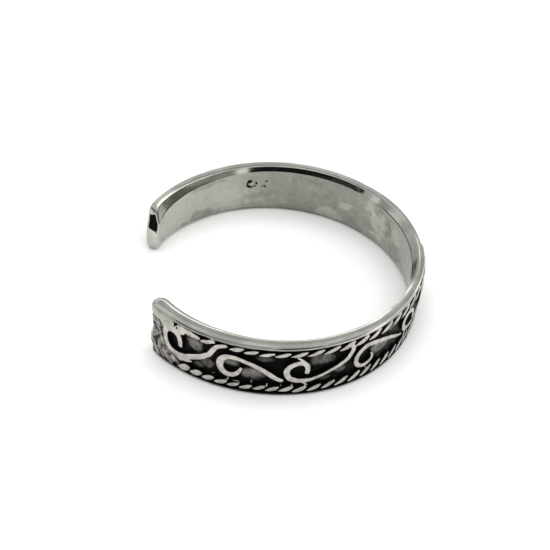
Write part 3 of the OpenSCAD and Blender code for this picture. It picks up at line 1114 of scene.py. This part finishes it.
            # Painted shadow in the opened seam
            shade_and_stain[row] = opened * part
        low = len(shade_and_stain) - self.n_low_round - self.low_rows
        lip = slice(low - 1, low + 6)
        # Painted shade on the lower lip over the layer, fading out towards the ornamented tip
        shade_and_stain[lip] = np.maximum(shade_and_stain[lip], layer * smoothstep(-150.0, -136.0, angle))

    def make_uneven(self, skin: Skin) -> None:
        """Bends the band and its upper rim a little, as filing and hammering do.

        Args:
            skin: The band's skin, changed here.
        """
        x = skin.angle * self.form.mm_per_degree
        skin.radius = skin.radius + self.bends.on(self.grain, x, skin.z * 0.5 + skin.radius)
        first = self.n_wall + len(self.bevel_rows)
        rim = slice(first - 1, first + len(self.crown_rows) + len(self.round_rows) - 4)
        skin.z[rim] += self.rim_waves.on(self.grain, x[rim], skin.radius[rim])

    def dress_wall(self, skin: Skin) -> None:
        """Punches the mark into the inner wall and gives the wall its tone, with painted reflections.

        Args:
            skin: The band's skin, changed here.
        """
        angle, z = skin.angle[:self.n_wall], skin.z[:self.n_wall]
        shade_and_stain, tone_and_reflection = skin.values["shade_and_stain"], skin.values["tone_and_reflection"]
        depth, dark = self.mark.dent(self.grain, angle, z)
        skin.radius[:self.n_wall] += depth
        shade_and_stain[:self.n_wall] = np.maximum(shade_and_stain[:self.n_wall], dark)
        ragged = self.blotches.on(self.grain, angle * self.form.mm_per_degree, z)
        # Painted reflections: the tone along the band, then paler and darker patches, over random
        # blotches
        tone_and_reflection[:self.n_wall] = table_at(angle, PAINTED_INSIDE_REFLECTION) + 0.1 * ragged
        for rows, sign in ((PAINTED_PALE_REFLECTIONS, 1.0), (PAINTED_DARK_REFLECTIONS, -1.0)):
            for patch in rows:
                cover = patch.cover(angle, z, (1.06, 0.86), ragged)
                tone_and_reflection[:self.n_wall] += sign * patch.strength * cover
        tone_and_reflection[-self.low_rows:] = tone_and_reflection[0]

    def shape_tips(self, skin: Skin) -> None:
        """Rounds both tips and moves their ends back.

        Args:
            skin: The band's skin, changed here.
        """
        for tip in (NEAR_TIP, FAR_TIP):
            part = tip.side * skin.angle > 0
            plain = (skin.radius, skin.z, skin.angle)
            shaped = tip.shape(self.form, *plain)
            skin.radius, skin.z, skin.angle = (
                np.where(part, new, old) for new, old in zip(shaped, plain))

    def plain_end(self, side: Array, z: Array) -> Array:
        """How dark the plain tip's end is: a dark patch high in its middle, and painted shade low on
        the tip.

        Args:
            side: 1 outside the middle of the end and -1 inside it.
            z: Heights of the points, with one column for each of the dome's rings.

        Returns:
            The darkness, from 0 to 1.
        """
        spread = np.array(self.cap_rings)
        wear = 0.1 * self.grain.at(side * spread * 2.3 + 4.0, z * 3.0)
        # A dark patch over the middle of the end, from a little under half its height to near its top
        dark = smoothstep(0.98, 0.86, z + wear + 0.14 * spread**3)
        dark *= smoothstep(-0.06, 0.04, z + wear + 0.22 - 0.14 * side * spread)
        # Painted shade darkens the end's lower part
        return np.maximum(dark * smoothstep(0.9, 0.76, spread + wear),
                          0.29 * smoothstep(-0.15, -0.7, z))

    def capped(self, skin: Skin) -> Skin:
        """Adds columns that dome over both tips.

        Args:
            skin: The band's skin.

        Returns:
            The skin with the columns added.
        """
        rings = np.array(self.cap_rings)
        fields = {"radius": skin.radius, "z": skin.z, "angle": skin.angle, **skin.values}
        for tip, column in ((NEAR_TIP, 0), (FAR_TIP, -1)):
            r, z, a = (field[:, [column]] for field in (skin.radius, skin.z, skin.angle))
            mid_r, mid_z = (r.min() + r.max()) / 2, (z.min() + z.max()) / 2
            ring_z = mid_z + (z - mid_z) * (0.9 + 0.1 * rings)
            order = np.argsort(z[:, 0])
            dome = tip.side * tip.dome * (1 - rings**3) / self.form.mm_per_degree
            ends = {"radius": mid_r + (r - mid_r) * rings, "z": ring_z,
                    "angle": np.interp(ring_z, z[order, 0], a[order, 0]) + dome,
                    "shade_and_stain": np.zeros(ring_z.shape), "lined": np.zeros(ring_z.shape),
                    "tone_and_reflection": np.full(ring_z.shape, self.plain_tone)}
            if tip is FAR_TIP:
                # The plain tip's end gets its dark patch and painted shade
                ends["shade_and_stain"] = self.plain_end(np.sign(ends["radius"] - mid_r), ring_z)
                fields = {key: np.hstack([field, ends[key]]) for key, field in fields.items()}
            else:
                fields = {key: np.hstack([ends[key][:, ::-1], field])
                          for key, field in fields.items()}
        return Skin(fields.pop("radius"), fields.pop("z"), fields.pop("angle"), fields)

    def build(self) -> bpy.types.Object:
        """Makes the band's closed mesh with its regions and finish values.

        Returns:
            The object.
        """
        skin = self.section(self.columns())
        self.open_seam_and_paint_shade(skin)
        self.make_uneven(skin)
        self.dress_wall(skin)
        self.shape_tips(skin)
        band = self.capped(skin).mesh(self.name, self.form, closed=True)
        self.mark_regions(band.data, len(skin.z))
        return band

    def mark_regions(self, mesh: bpy.types.Mesh, n_rows: int) -> None:
        """Gives the inner wall its own finish and keeps the crease sharp.

        Args:
            mesh: The band's mesh.
            n_rows: Rows of the whole section.
        """
        corners = np.zeros(len(mesh.polygons), int)
        mesh.polygons.foreach_get("loop_start", corners)
        loops = np.zeros(len(mesh.loops), int)
        mesh.loops.foreach_get("vertex_index", loops)
        n_caps, n_columns = len(self.cap_rings), len(mesh.vertices) // n_rows
        column, row = np.divmod(loops[corners], n_rows)
        inside = (row < self.n_wall - 1) | (row >= n_rows - self.low_rows)
        inside &= (column > n_caps) & (column < n_columns - n_caps - 2)
        slots = np.where(inside, Region.INNER_WALL.value, Region.POLISHED.value)
        mesh.polygons.foreach_set("material_index", slots.astype(np.int32))
        ends = np.zeros(len(mesh.edges) * 2, int)
        mesh.edges.foreach_get("vertices", ends)
        column, row = np.divmod(ends.reshape(-1, 2), n_rows)
        along = (row == self.n_wall - 1).all(axis=1)
        clear = (column.min(axis=1) > n_caps + 3) & (column.max(axis=1) < n_columns - n_caps - 5)
        sharp = mesh.attributes.new("sharp_edge", "BOOLEAN", "EDGE")
        sharp.data.foreach_set("value", along & clear)

    @staticmethod
    def dress(band: bpy.types.Object) -> None:
        """Gives the band's regions their finishes, in the order of their numbers."""
        for finish in (PolishedSterling(), WornInsidePaintedReflections()):
            band.data.materials.append(finish.build())


def linear(hex_colour: str) -> tuple[float, float, float, float]:
    """Turns an sRGB hex colour to linear.

    Args:
        hex_colour: Six hex digits after a hash sign.

    Returns:
        Red, green, blue and alpha.
    """
    out = []
    for i in (1, 3, 5):
        c = int(hex_colour[i:i + 2], 16) / 255
        out.append(c / 12.92 if c <= 0.04045 else ((c + 0.055) / 1.055) ** 2.4)
    return (out[0], out[1], out[2], 1.0)


def add_node(tree: Tree, kind: str, settings: dict[str, Any] | None = None,
             inputs: dict[str | int, Any] | None = None) -> bpy.types.Node:
    """Adds a node with its settings, values and links.

    Args:
        tree: The node tree.
        kind: Blender's name of the node type.
        settings: Properties to set.
        inputs: Values or output sockets for the inputs, by name or index.

    Returns:
        The node.
    """
    node = tree.nodes.new(kind)
    for key, value in (settings or {}).items():
        setattr(node, key, value)
    for key, value in (inputs or {}).items():
        if isinstance(value, Socket):
            tree.links.new(value, node.inputs[key])
        else:
            node.inputs[key].default_value = value
    return node


def new_material(name: str) -> tuple[bpy.types.Material, Tree]:
    """Makes a material with an empty node tree.

    Args:
        name: The material's name.

    Returns:
        The material and its tree.
    """
    material = bpy.data.materials.new(name)
    material.use_nodes = True
    material.node_tree.nodes.clear()
    return material, material.node_tree


class Look(NamedTuple):
    """What makes a metal: its colour, its haze, and the strength and height of its bumps."""

    colour: Socket
    haze: Socket
    bump: Socket | float
    height: Socket


class Finish:
    """Base of the ring's finishes: metal with its coordinates in millimetres."""

    name: str
    # The mesh attributes that the look reads
    marks: tuple[str, ...]
    # The roughness goes from its first value to its last while the haze crosses this span
    roughness: tuple[float, float]
    haze_span: tuple[float, float] = (0.3, 0.7)
    # The bumps are about a hundredth of a millimetre high
    bump_m = 0.00001

    def look(self, tree: Tree, uv: Socket, marks: list[Socket]) -> Look:
        """Makes the nodes of the finish.

        Args:
            tree: The material's node tree.
            uv: Coordinates in millimetres, along and across the band.
            marks: Values of the mesh attributes, in the order of their names.

        Returns:
            What the metal is made with.
        """
        raise NotImplementedError

    def build(self) -> bpy.types.Material:
        """Makes the metal with the finish's look.

        Returns:
            The material.
        """
        material, tree = new_material(self.name)
        uv = add_node(tree, "ShaderNodeUVMap", {"uv_map": "millimetres"})
        marks = [add_node(tree, "ShaderNodeAttribute", {"attribute_name": mark}).outputs["Fac"]
                 for mark in self.marks]
        look = self.look(tree, uv.outputs["UV"], marks)
        (low, high), (first, last) = self.haze_span, self.roughness
        gloss = add_node(tree, "ShaderNodeMapRange", SMOOTH,
                         {0: look.haze, 1: low, 2: high, 3: first, 4: last})
        bump = add_node(tree, "ShaderNodeBump", None,
                        {"Strength": look.bump, "Distance": self.bump_m, "Height": look.height})
        shader = add_node(tree, "ShaderNodeBsdfPrincipled", None,
                          {"Base Color": look.colour, "Metallic": 1.0,
                           "Roughness": gloss.outputs[0], "Normal": bump.outputs[0]})
        add_node(tree, "ShaderNodeOutputMaterial", None, {"Surface": shader.outputs[0]})
        return material

    @staticmethod
    def scaled_noise(tree: Tree, uv: Socket, per_mm: tuple[float, float], detail: float) -> Socket:
        """Noise with its own fineness along and across the band.

        Args:
            tree: The node tree.
            uv: Coordinates in millimetres.
            per_mm: Grains in a millimetre, along and across.
            detail: Layers of finer noise.

        Returns:
            The noise, from 0 to 1.
        """
        place = add_node(tree, "ShaderNodeMapping", None, {"Vector": uv, "Scale": (*per_mm, 1.0)})
        noise = add_node(tree, "ShaderNodeTexNoise", {"noise_dimensions": "2D"},
                         {"Vector": place.outputs[0], "Scale": 1.0, "Detail": detail})
        return noise.outputs[0]

    @staticmethod
    def faded(tree: Tree, value: Socket, span: tuple[float, float], first: Any, last: Any) -> Socket:
        """Goes smoothly from one colour to another while a value goes over a span.

        Args:
            tree: The node tree.
            value: What the colour depends on.
            span: The values at which the fade begins and ends.
            first: The colour below the span.
            last: The colour above it.

        Returns:
            The colour.
        """
        share = add_node(tree, "ShaderNodeMapRange", SMOOTH, {0: value, 1: span[0], 2: span[1]})
        mixed = add_node(tree, "ShaderNodeMix", COLOURS, {0: share.outputs[0], 6: first, 7: last})
        return mixed.outputs[2]


@dataclass(frozen=True)
class PolishedSterling(Finish):
    """Sterling silver, filed and buffed: a soft mirror with hair-fine lines along the band."""

    name: str = "polished_sterling_silver"
    marks: tuple[str, ...] = ("shade_and_stain", "lined")
    bright: str = "#BDBDB6"
    dull: str = "#A9A9A2"
    # Colour of the painted shade along the crease, in the seam and on the lower lip, and of the dark
    # patch on the plain tip's end
    shade_and_stain: str = "#0E0D0C"
    roughness: tuple[float, float] = (0.09, 0.17)
    line_bump: float = 0.02
    haze_per_mm: tuple[float, float] = (0.5, 1.1)
    # Buffing lines are about 0.01 mm wide, drawn at 0.04 mm so that they show
    lines_per_mm: tuple[float, float] = (0.5, 25.0)

    def look(self, tree: Tree, uv: Socket, marks: list[Socket]) -> Look:
        """Makes hazy silver, lined along the band.

        Args:
            tree: The material's node tree.
            uv: Coordinates in millimetres.
            marks: Darkness of the painted shade and stains, and where the metal is lined.

        Returns:
            What the metal is made with.
        """
        shade_and_stain, lined = marks
        haze = self.scaled_noise(tree, uv, self.haze_per_mm, 4.0)
        lines = self.scaled_noise(tree, uv, self.lines_per_mm, 2.0)
        colour = self.faded(tree, haze, (0.35, 0.65), linear(self.bright), linear(self.dull))
        colour = self.faded(tree, shade_and_stain, SHADE_AND_STAIN_SPAN, colour, linear(self.shade_and_stain))
        depth = add_node(tree, "ShaderNodeMapRange", SMOOTH, {0: lined, 4: self.line_bump})
        return Look(colour, haze, depth.outputs[0], lines)


@dataclass(frozen=True)
class WornInsidePaintedReflections(Finish):
    """The shank's inner wall: scraped and half polished, so it is hazy and blotched, with painted
    reflections in its tone.
    """

    name: str = "satin_sterling_inner_wall"
    marks: tuple[str, ...] = ("shade_and_stain", "tone_and_reflection")
    # Colours between which the painted reflections and the random blotches fade
    pale: str = "#B9B9B0"
    shade: str = "#767670"
    # Colour of the stamp's dark stain and of painted shade at the crease
    shade_and_stain: str = "#0A0A09"
    haze_span: tuple[float, float] = (0.4, 0.62)
    roughness: tuple[float, float] = (0.22, 0.34)
    scratch_bump: float = 0.25
    scratches_per_mm: tuple[float, float] = (9.0, 1.2)
    blotches_per_mm: tuple[float, float] = (1.6, 2.2)
    blotch_share: float = 0.42

    def look(self, tree: Tree, uv: Socket, marks: list[Socket]) -> Look:
        """Makes blotched silver, scratched across, between shade and pale by its tone, which carries
        painted reflections.

        Args:
            tree: The material's node tree.
            uv: Coordinates in millimetres.
            marks: Darkness of the stamp and of painted shade at the crease, and the wall's tone with
                its painted reflections.

        Returns:
            What the metal is made with.
        """
        shade_and_stain, tone_and_reflection = marks
        blotch = self.scaled_noise(tree, uv, self.blotches_per_mm, 5.0)
        scratches = self.scaled_noise(tree, uv, self.scratches_per_mm, 3.0)
        mottled = add_node(tree, "ShaderNodeMath", {"operation": "MULTIPLY_ADD"},
                           {0: blotch, 1: self.blotch_share, 2: tone_and_reflection})
        colour = self.faded(tree, mottled.outputs[0], (0.1, 1.3), linear(self.shade),
                            linear(self.pale))
        colour = self.faded(tree, shade_and_stain, SHADE_AND_STAIN_SPAN, colour, linear(self.shade_and_stain))
        return Look(colour, blotch, self.scratch_bump, scratches)


@dataclass(frozen=True)
class DarkenedRelief(Finish):
    """Cast silver darkened with sulphur and rubbed bright on top: black ground, pale relief."""

    name: str = "oxidised_sterling_relief"
    marks: tuple[str, ...] = ("edge", "bright", "between", "buffed")
    rubbed: str = "#C6C2BC"
    dulled: str = "#AAA6A0"
    buffed: str = "#A6A69F"
    sulphide: str = "#0B0B0A"
    haze_span: tuple[float, float] = (0.1, 0.9)
    roughness: tuple[float, float] = (0.5, 0.28)
    # The cast grain is about 0.03 mm
    grain_per_mm: tuple[float, float] = (30.0, 30.0)
    grain_bump: float = 0.3
    stain_per_mm: tuple[float, float] = (2.2, 2.2)
    # The rubbed metal begins between these distances inside the outlines of the wires, in mm
    rubbed_edge: tuple[float, float] = (0.02, 0.044)

    def look(self, tree: Tree, uv: Socket, marks: list[Socket]) -> Look:
        """Makes black sulphide, through which the rubbed metal shows on the wires.

        Args:
            tree: The material's node tree.
            uv: Coordinates in millimetres.
            marks: Distance inside the wires' outlines, their brightness, the brightness between
                them and how far the metal is buffed.

        Returns:
            What the metal is made with.
        """
        edge, bright, between, buffed = marks
        low, high = self.rubbed_edge
        grain = self.scaled_noise(tree, uv, self.grain_per_mm, 2.0)
        stain = self.scaled_noise(tree, uv, self.stain_per_mm, 3.0)
        metal = self.faded(tree, stain, (0.35, 0.7), linear(self.rubbed), linear(self.dulled))
        metal = add_node(tree, "ShaderNodeMix", COLOURS, {0: buffed, 6: metal,
                                                          7: linear(self.buffed)})
        raised = add_node(tree, "ShaderNodeMapRange", SMOOTH, {0: edge, 1: low, 2: high})
        share = add_node(tree, "ShaderNodeMix", None,
                         {0: raised.outputs[0], 2: between, 3: bright})
        colour = add_node(tree, "ShaderNodeMix", COLOURS,
                          {0: share.outputs[0], 6: linear(self.sulphide), 7: metal.outputs[2]})
        return Look(colour.outputs[2], share.outputs[0], self.grain_bump, grain)


@dataclass(frozen=True)
class Studio:
    """Floor, light and camera, placed as in the photo. The camera looks along +Y turned by turn."""

    # The turn is in degrees, the elevation and the roll are in radians
    turn: float = -7.5
    elevation: float = 0.711
    roll: float = -0.081
    distance: float = 155.0
    target: tuple[float, float] = (-0.054, -0.3255)
    focal_px: float = 2685.9
    frame_px: float = 550.0
    sensor_mm: float = 36.0
    clip_m: tuple[float, float] = (0.005, 5.0)
    floor_z: float = -1.785
    floor_half_m: float = 0.6
    paper: str = "#F7F7F6"
    paper_roughness: float = 0.9
    brightest: float = 2.4
    # Strips of light over the ring, from the far horizon over the top to the near one.
    # Columns: height in degrees, brightness
    strips: Table = (
        (0.0, 0.62), (13.0, 0.62), (16.0, 2.4), (23.0, 2.4), (26.0, 0.72), (50.0, 0.62),
        (58.0, 0.95), (74.0, 0.95), (80.0, 0.55), (96.0, 0.5), (102.0, 1.2), (118.0, 1.1),
        (126.0, 0.7), (154.0, 0.55), (160.0, 0.01), (180.0, 0.01))
    # Where the bright strip begins and ends, from left (0) to right (1). Beside it the strips
    # below the calm height are no brighter than the calm level
    reach: Table = (
        (0.0, 0.0), (0.32, 0.0), (0.36, 2.4), (0.69, 2.4), (0.73, 0.0))
    calm_height: float = 0.16
    calm_level: float = 0.6
    # A softbox far to the right
    right_box: Table = (
        (0.0, 0.0), (0.83, 0.0), (0.85, 2.4), (0.93, 2.4), (0.95, 0.0))
    right_level: float = 2.2
    # A softbox left of the middle. Columns: place from left to right, brightness. Then the
    # heights that it fills, from the far horizon (0) to the near one (1)
    left_box: Table = (
        (0.0, 0.66), (0.285, 0.66), (0.305, 2.2), (0.36, 2.2), (0.38, 0.66))
    left_heights: Table = (
        (0.0, 0.0), (0.16, 0.0), (0.175, 2.4), (0.24, 2.4), (0.26, 0.0))
    # The dark room behind the camera begins between these heights. Its middle is a little left
    room_edge: tuple[float, float] = (0.855, 0.885)
    room_shift: float = 0.225
    # Beside the dark room. Columns: how far to the side, brightness
    sides: Table = (
        (0.0, 0.01), (0.645, 0.01), (0.7, 1.3), (0.8, 1.3), (0.9, 0.5), (1.0, 0.4))
    lamp_power: float = 1.15
    lamp_size_m: float = 0.5
    lamp_height_m: float = 0.4

    def turned(self, v: Sequence[float]) -> Vector:
        """A direction of the photo's frame in the ring's frame."""
        return Matrix.Rotation(math.radians(self.turn), 3, "Z") @ Vector(v)

    def camera(self) -> bpy.types.Object:
        """Places the camera at the photo's angle and distance.

        Returns:
            The camera.
        """
        right = self.turned((1, 0, 0))
        up = self.turned((0, math.sin(self.elevation), math.cos(self.elevation)))
        back = self.turned((0, -math.cos(self.elevation), math.sin(self.elevation)))
        c, s = math.cos(self.roll), math.sin(self.roll)
        x, y = right * c - up * s, right * s + up * c
        place = self.turned((*self.target, 0)) + back * self.distance
        lens = bpy.data.cameras.new("photo_camera")
        lens.sensor_width = self.sensor_mm
        lens.lens = self.sensor_mm * self.focal_px / self.frame_px
        lens.clip_start, lens.clip_end = self.clip_m
        camera = place_object("photo_camera", lens)
        rotation = Matrix((x, y, back)).transposed().to_4x4()
        camera.matrix_world = Matrix.Translation(place * MM) @ rotation
        bpy.context.scene.camera = camera
        return camera

    def floor(self) -> bpy.types.Object:
        """Lays a pale matt sheet under the ring.

        Returns:
            The sheet.
        """
        mesh = bpy.data.meshes.new("floor")
        h, z = self.floor_half_m, self.floor_z * MM
        mesh.from_pydata([(-h, -h, z), (h, -h, z), (h, h, z), (-h, h, z)], [], [(0, 1, 2, 3)])
        floor = place_object("floor", mesh)
        material, tree = new_material("white_paper")
        shader = add_node(tree, "ShaderNodeBsdfPrincipled", None,
                          {"Base Color": linear(self.paper), "Roughness": self.paper_roughness})
        add_node(tree, "ShaderNodeOutputMaterial", None, {"Surface": shader.outputs[0]})
        mesh.materials.append(material)
        return floor

    def levels(self, tree: Tree, place: Socket,
               stops: Sequence[tuple[float, float]]) -> Socket:
        """Brightness between stops, as a share of the brightest strip.

        Args:
            tree: The world's node tree.
            place: Place between the stops, from 0 to 1.
            stops: Places and brightnesses.

        Returns:
            The brightness.
        """
        ramp = add_node(tree, "ShaderNodeValToRGB", None, {0: place})
        elements = ramp.color_ramp.elements
        while len(elements) < len(stops):
            elements.new(0.5)
        for element, (position, level) in zip(elements, stops):
            element.position = position
            element.color = (*[level / self.brightest] * 3, 1.0)
        return ramp.outputs[0]

    def over(self, tree: Tree, height: Socket,
             x: Socket) -> Socket:
        """Brightness of the strips and softboxes over the ring.

        Args:
            tree: The world's node tree.
            height: Place from the far horizon (0) over the top to the near one (1).
            x: Place from left (-1) to right (1).

        Returns:
            The brightness.
        """
        across = add_node(tree, "ShaderNodeMapRange", None, {0: x, 1: -1.0}).outputs[0]
        strips = [(degrees / 180, level) for degrees, level in self.strips]
        calm = [(place, min(level, self.calm_level) if place < self.calm_height else level)
                for place, level in strips]
        level = self.levels(tree, height, calm)
        for share, lit in (
                (self.levels(tree, height, self.left_heights),
                 self.levels(tree, across, self.left_box)),
                (self.levels(tree, across, self.reach), self.levels(tree, height, strips)),
                (self.levels(tree, across, self.right_box), self.right_level / self.brightest)):
            level = add_node(tree, "ShaderNodeMix", None, {0: share, 2: level, 3: lit}).outputs[0]
        return level

    def sky(self) -> None:
        """Lights the world: strips over the ring, and a dark room behind the camera."""
        world = bpy.data.worlds.new("studio")
        bpy.context.scene.world = world
        world.use_nodes = True
        tree = world.node_tree
        tree.nodes.clear()
        way = add_node(tree, "ShaderNodeTexCoord")
        turned = add_node(tree, "ShaderNodeMapping", None,
                          {"Vector": way.outputs["Generated"],
                           "Rotation": (0.0, 0.0, math.radians(-self.turn))})
        axes = add_node(tree, "ShaderNodeSeparateXYZ", None, {0: turned.outputs[0]})
        x, y, z = axes.outputs
        angle = add_node(tree, "ShaderNodeMath", {"operation": "ARCTAN2"}, {0: z, 1: y})
        height = add_node(tree, "ShaderNodeMapRange", None, {0: angle.outputs[0], 2: math.pi})
        aside = add_node(tree, "ShaderNodeMath", {"operation": "ADD"}, {0: x, 1: self.room_shift})
        aside = add_node(tree, "ShaderNodeMath", {"operation": "ABSOLUTE"}, {0: aside.outputs[0]})
        begin, end = self.room_edge
        behind = add_node(tree, "ShaderNodeMapRange", None,
                          {0: height.outputs[0], 1: begin, 2: end})
        total = add_node(tree, "ShaderNodeMix", None, {
            0: behind.outputs[0], 2: self.over(tree, height.outputs[0], x),
            3: self.levels(tree, aside.outputs[0], self.sides)})
        sky = add_node(tree, "ShaderNodeBackground", None,
                       {"Color": total.outputs[0], "Strength": self.brightest})
        add_node(tree, "ShaderNodeOutputWorld", None, {"Surface": sky.outputs[0]})

    def lamp(self) -> None:
        """Hangs a softbox over the ring, which the metal doesn't reflect."""
        lamp = bpy.data.lights.new("overhead_softbox", "AREA")
        lamp.energy = self.lamp_power
        lamp.size = self.lamp_size_m
        softbox = place_object("overhead_softbox", lamp)
        softbox.location = (0.0, 0.0, self.lamp_height_m)
        softbox.visible_glossy = False


def main() -> None:
    """Builds the ring, dresses it and sets up the studio."""
    logging.basicConfig(level=logging.INFO, format="%(name)s: %(message)s")
    bpy.context.scene.view_settings.view_transform = "Standard"
    studio = Studio()
    studio.camera()
    studio.floor()
    studio.sky()
    studio.lamp()
    form = BandForm()
    shank, ornament = ShankBand(form), Ornament(form)
    band, layer = shank.build(), ornament.build()
    shank.dress(band)
    ornament.dress(layer)
    for piece in (band, layer):
        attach(piece, "root")
        log.info("%s: %d faces", piece.name, len(piece.data.polygons))
    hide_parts(RING_NODE)


if __name__ == "__main__":
    main()
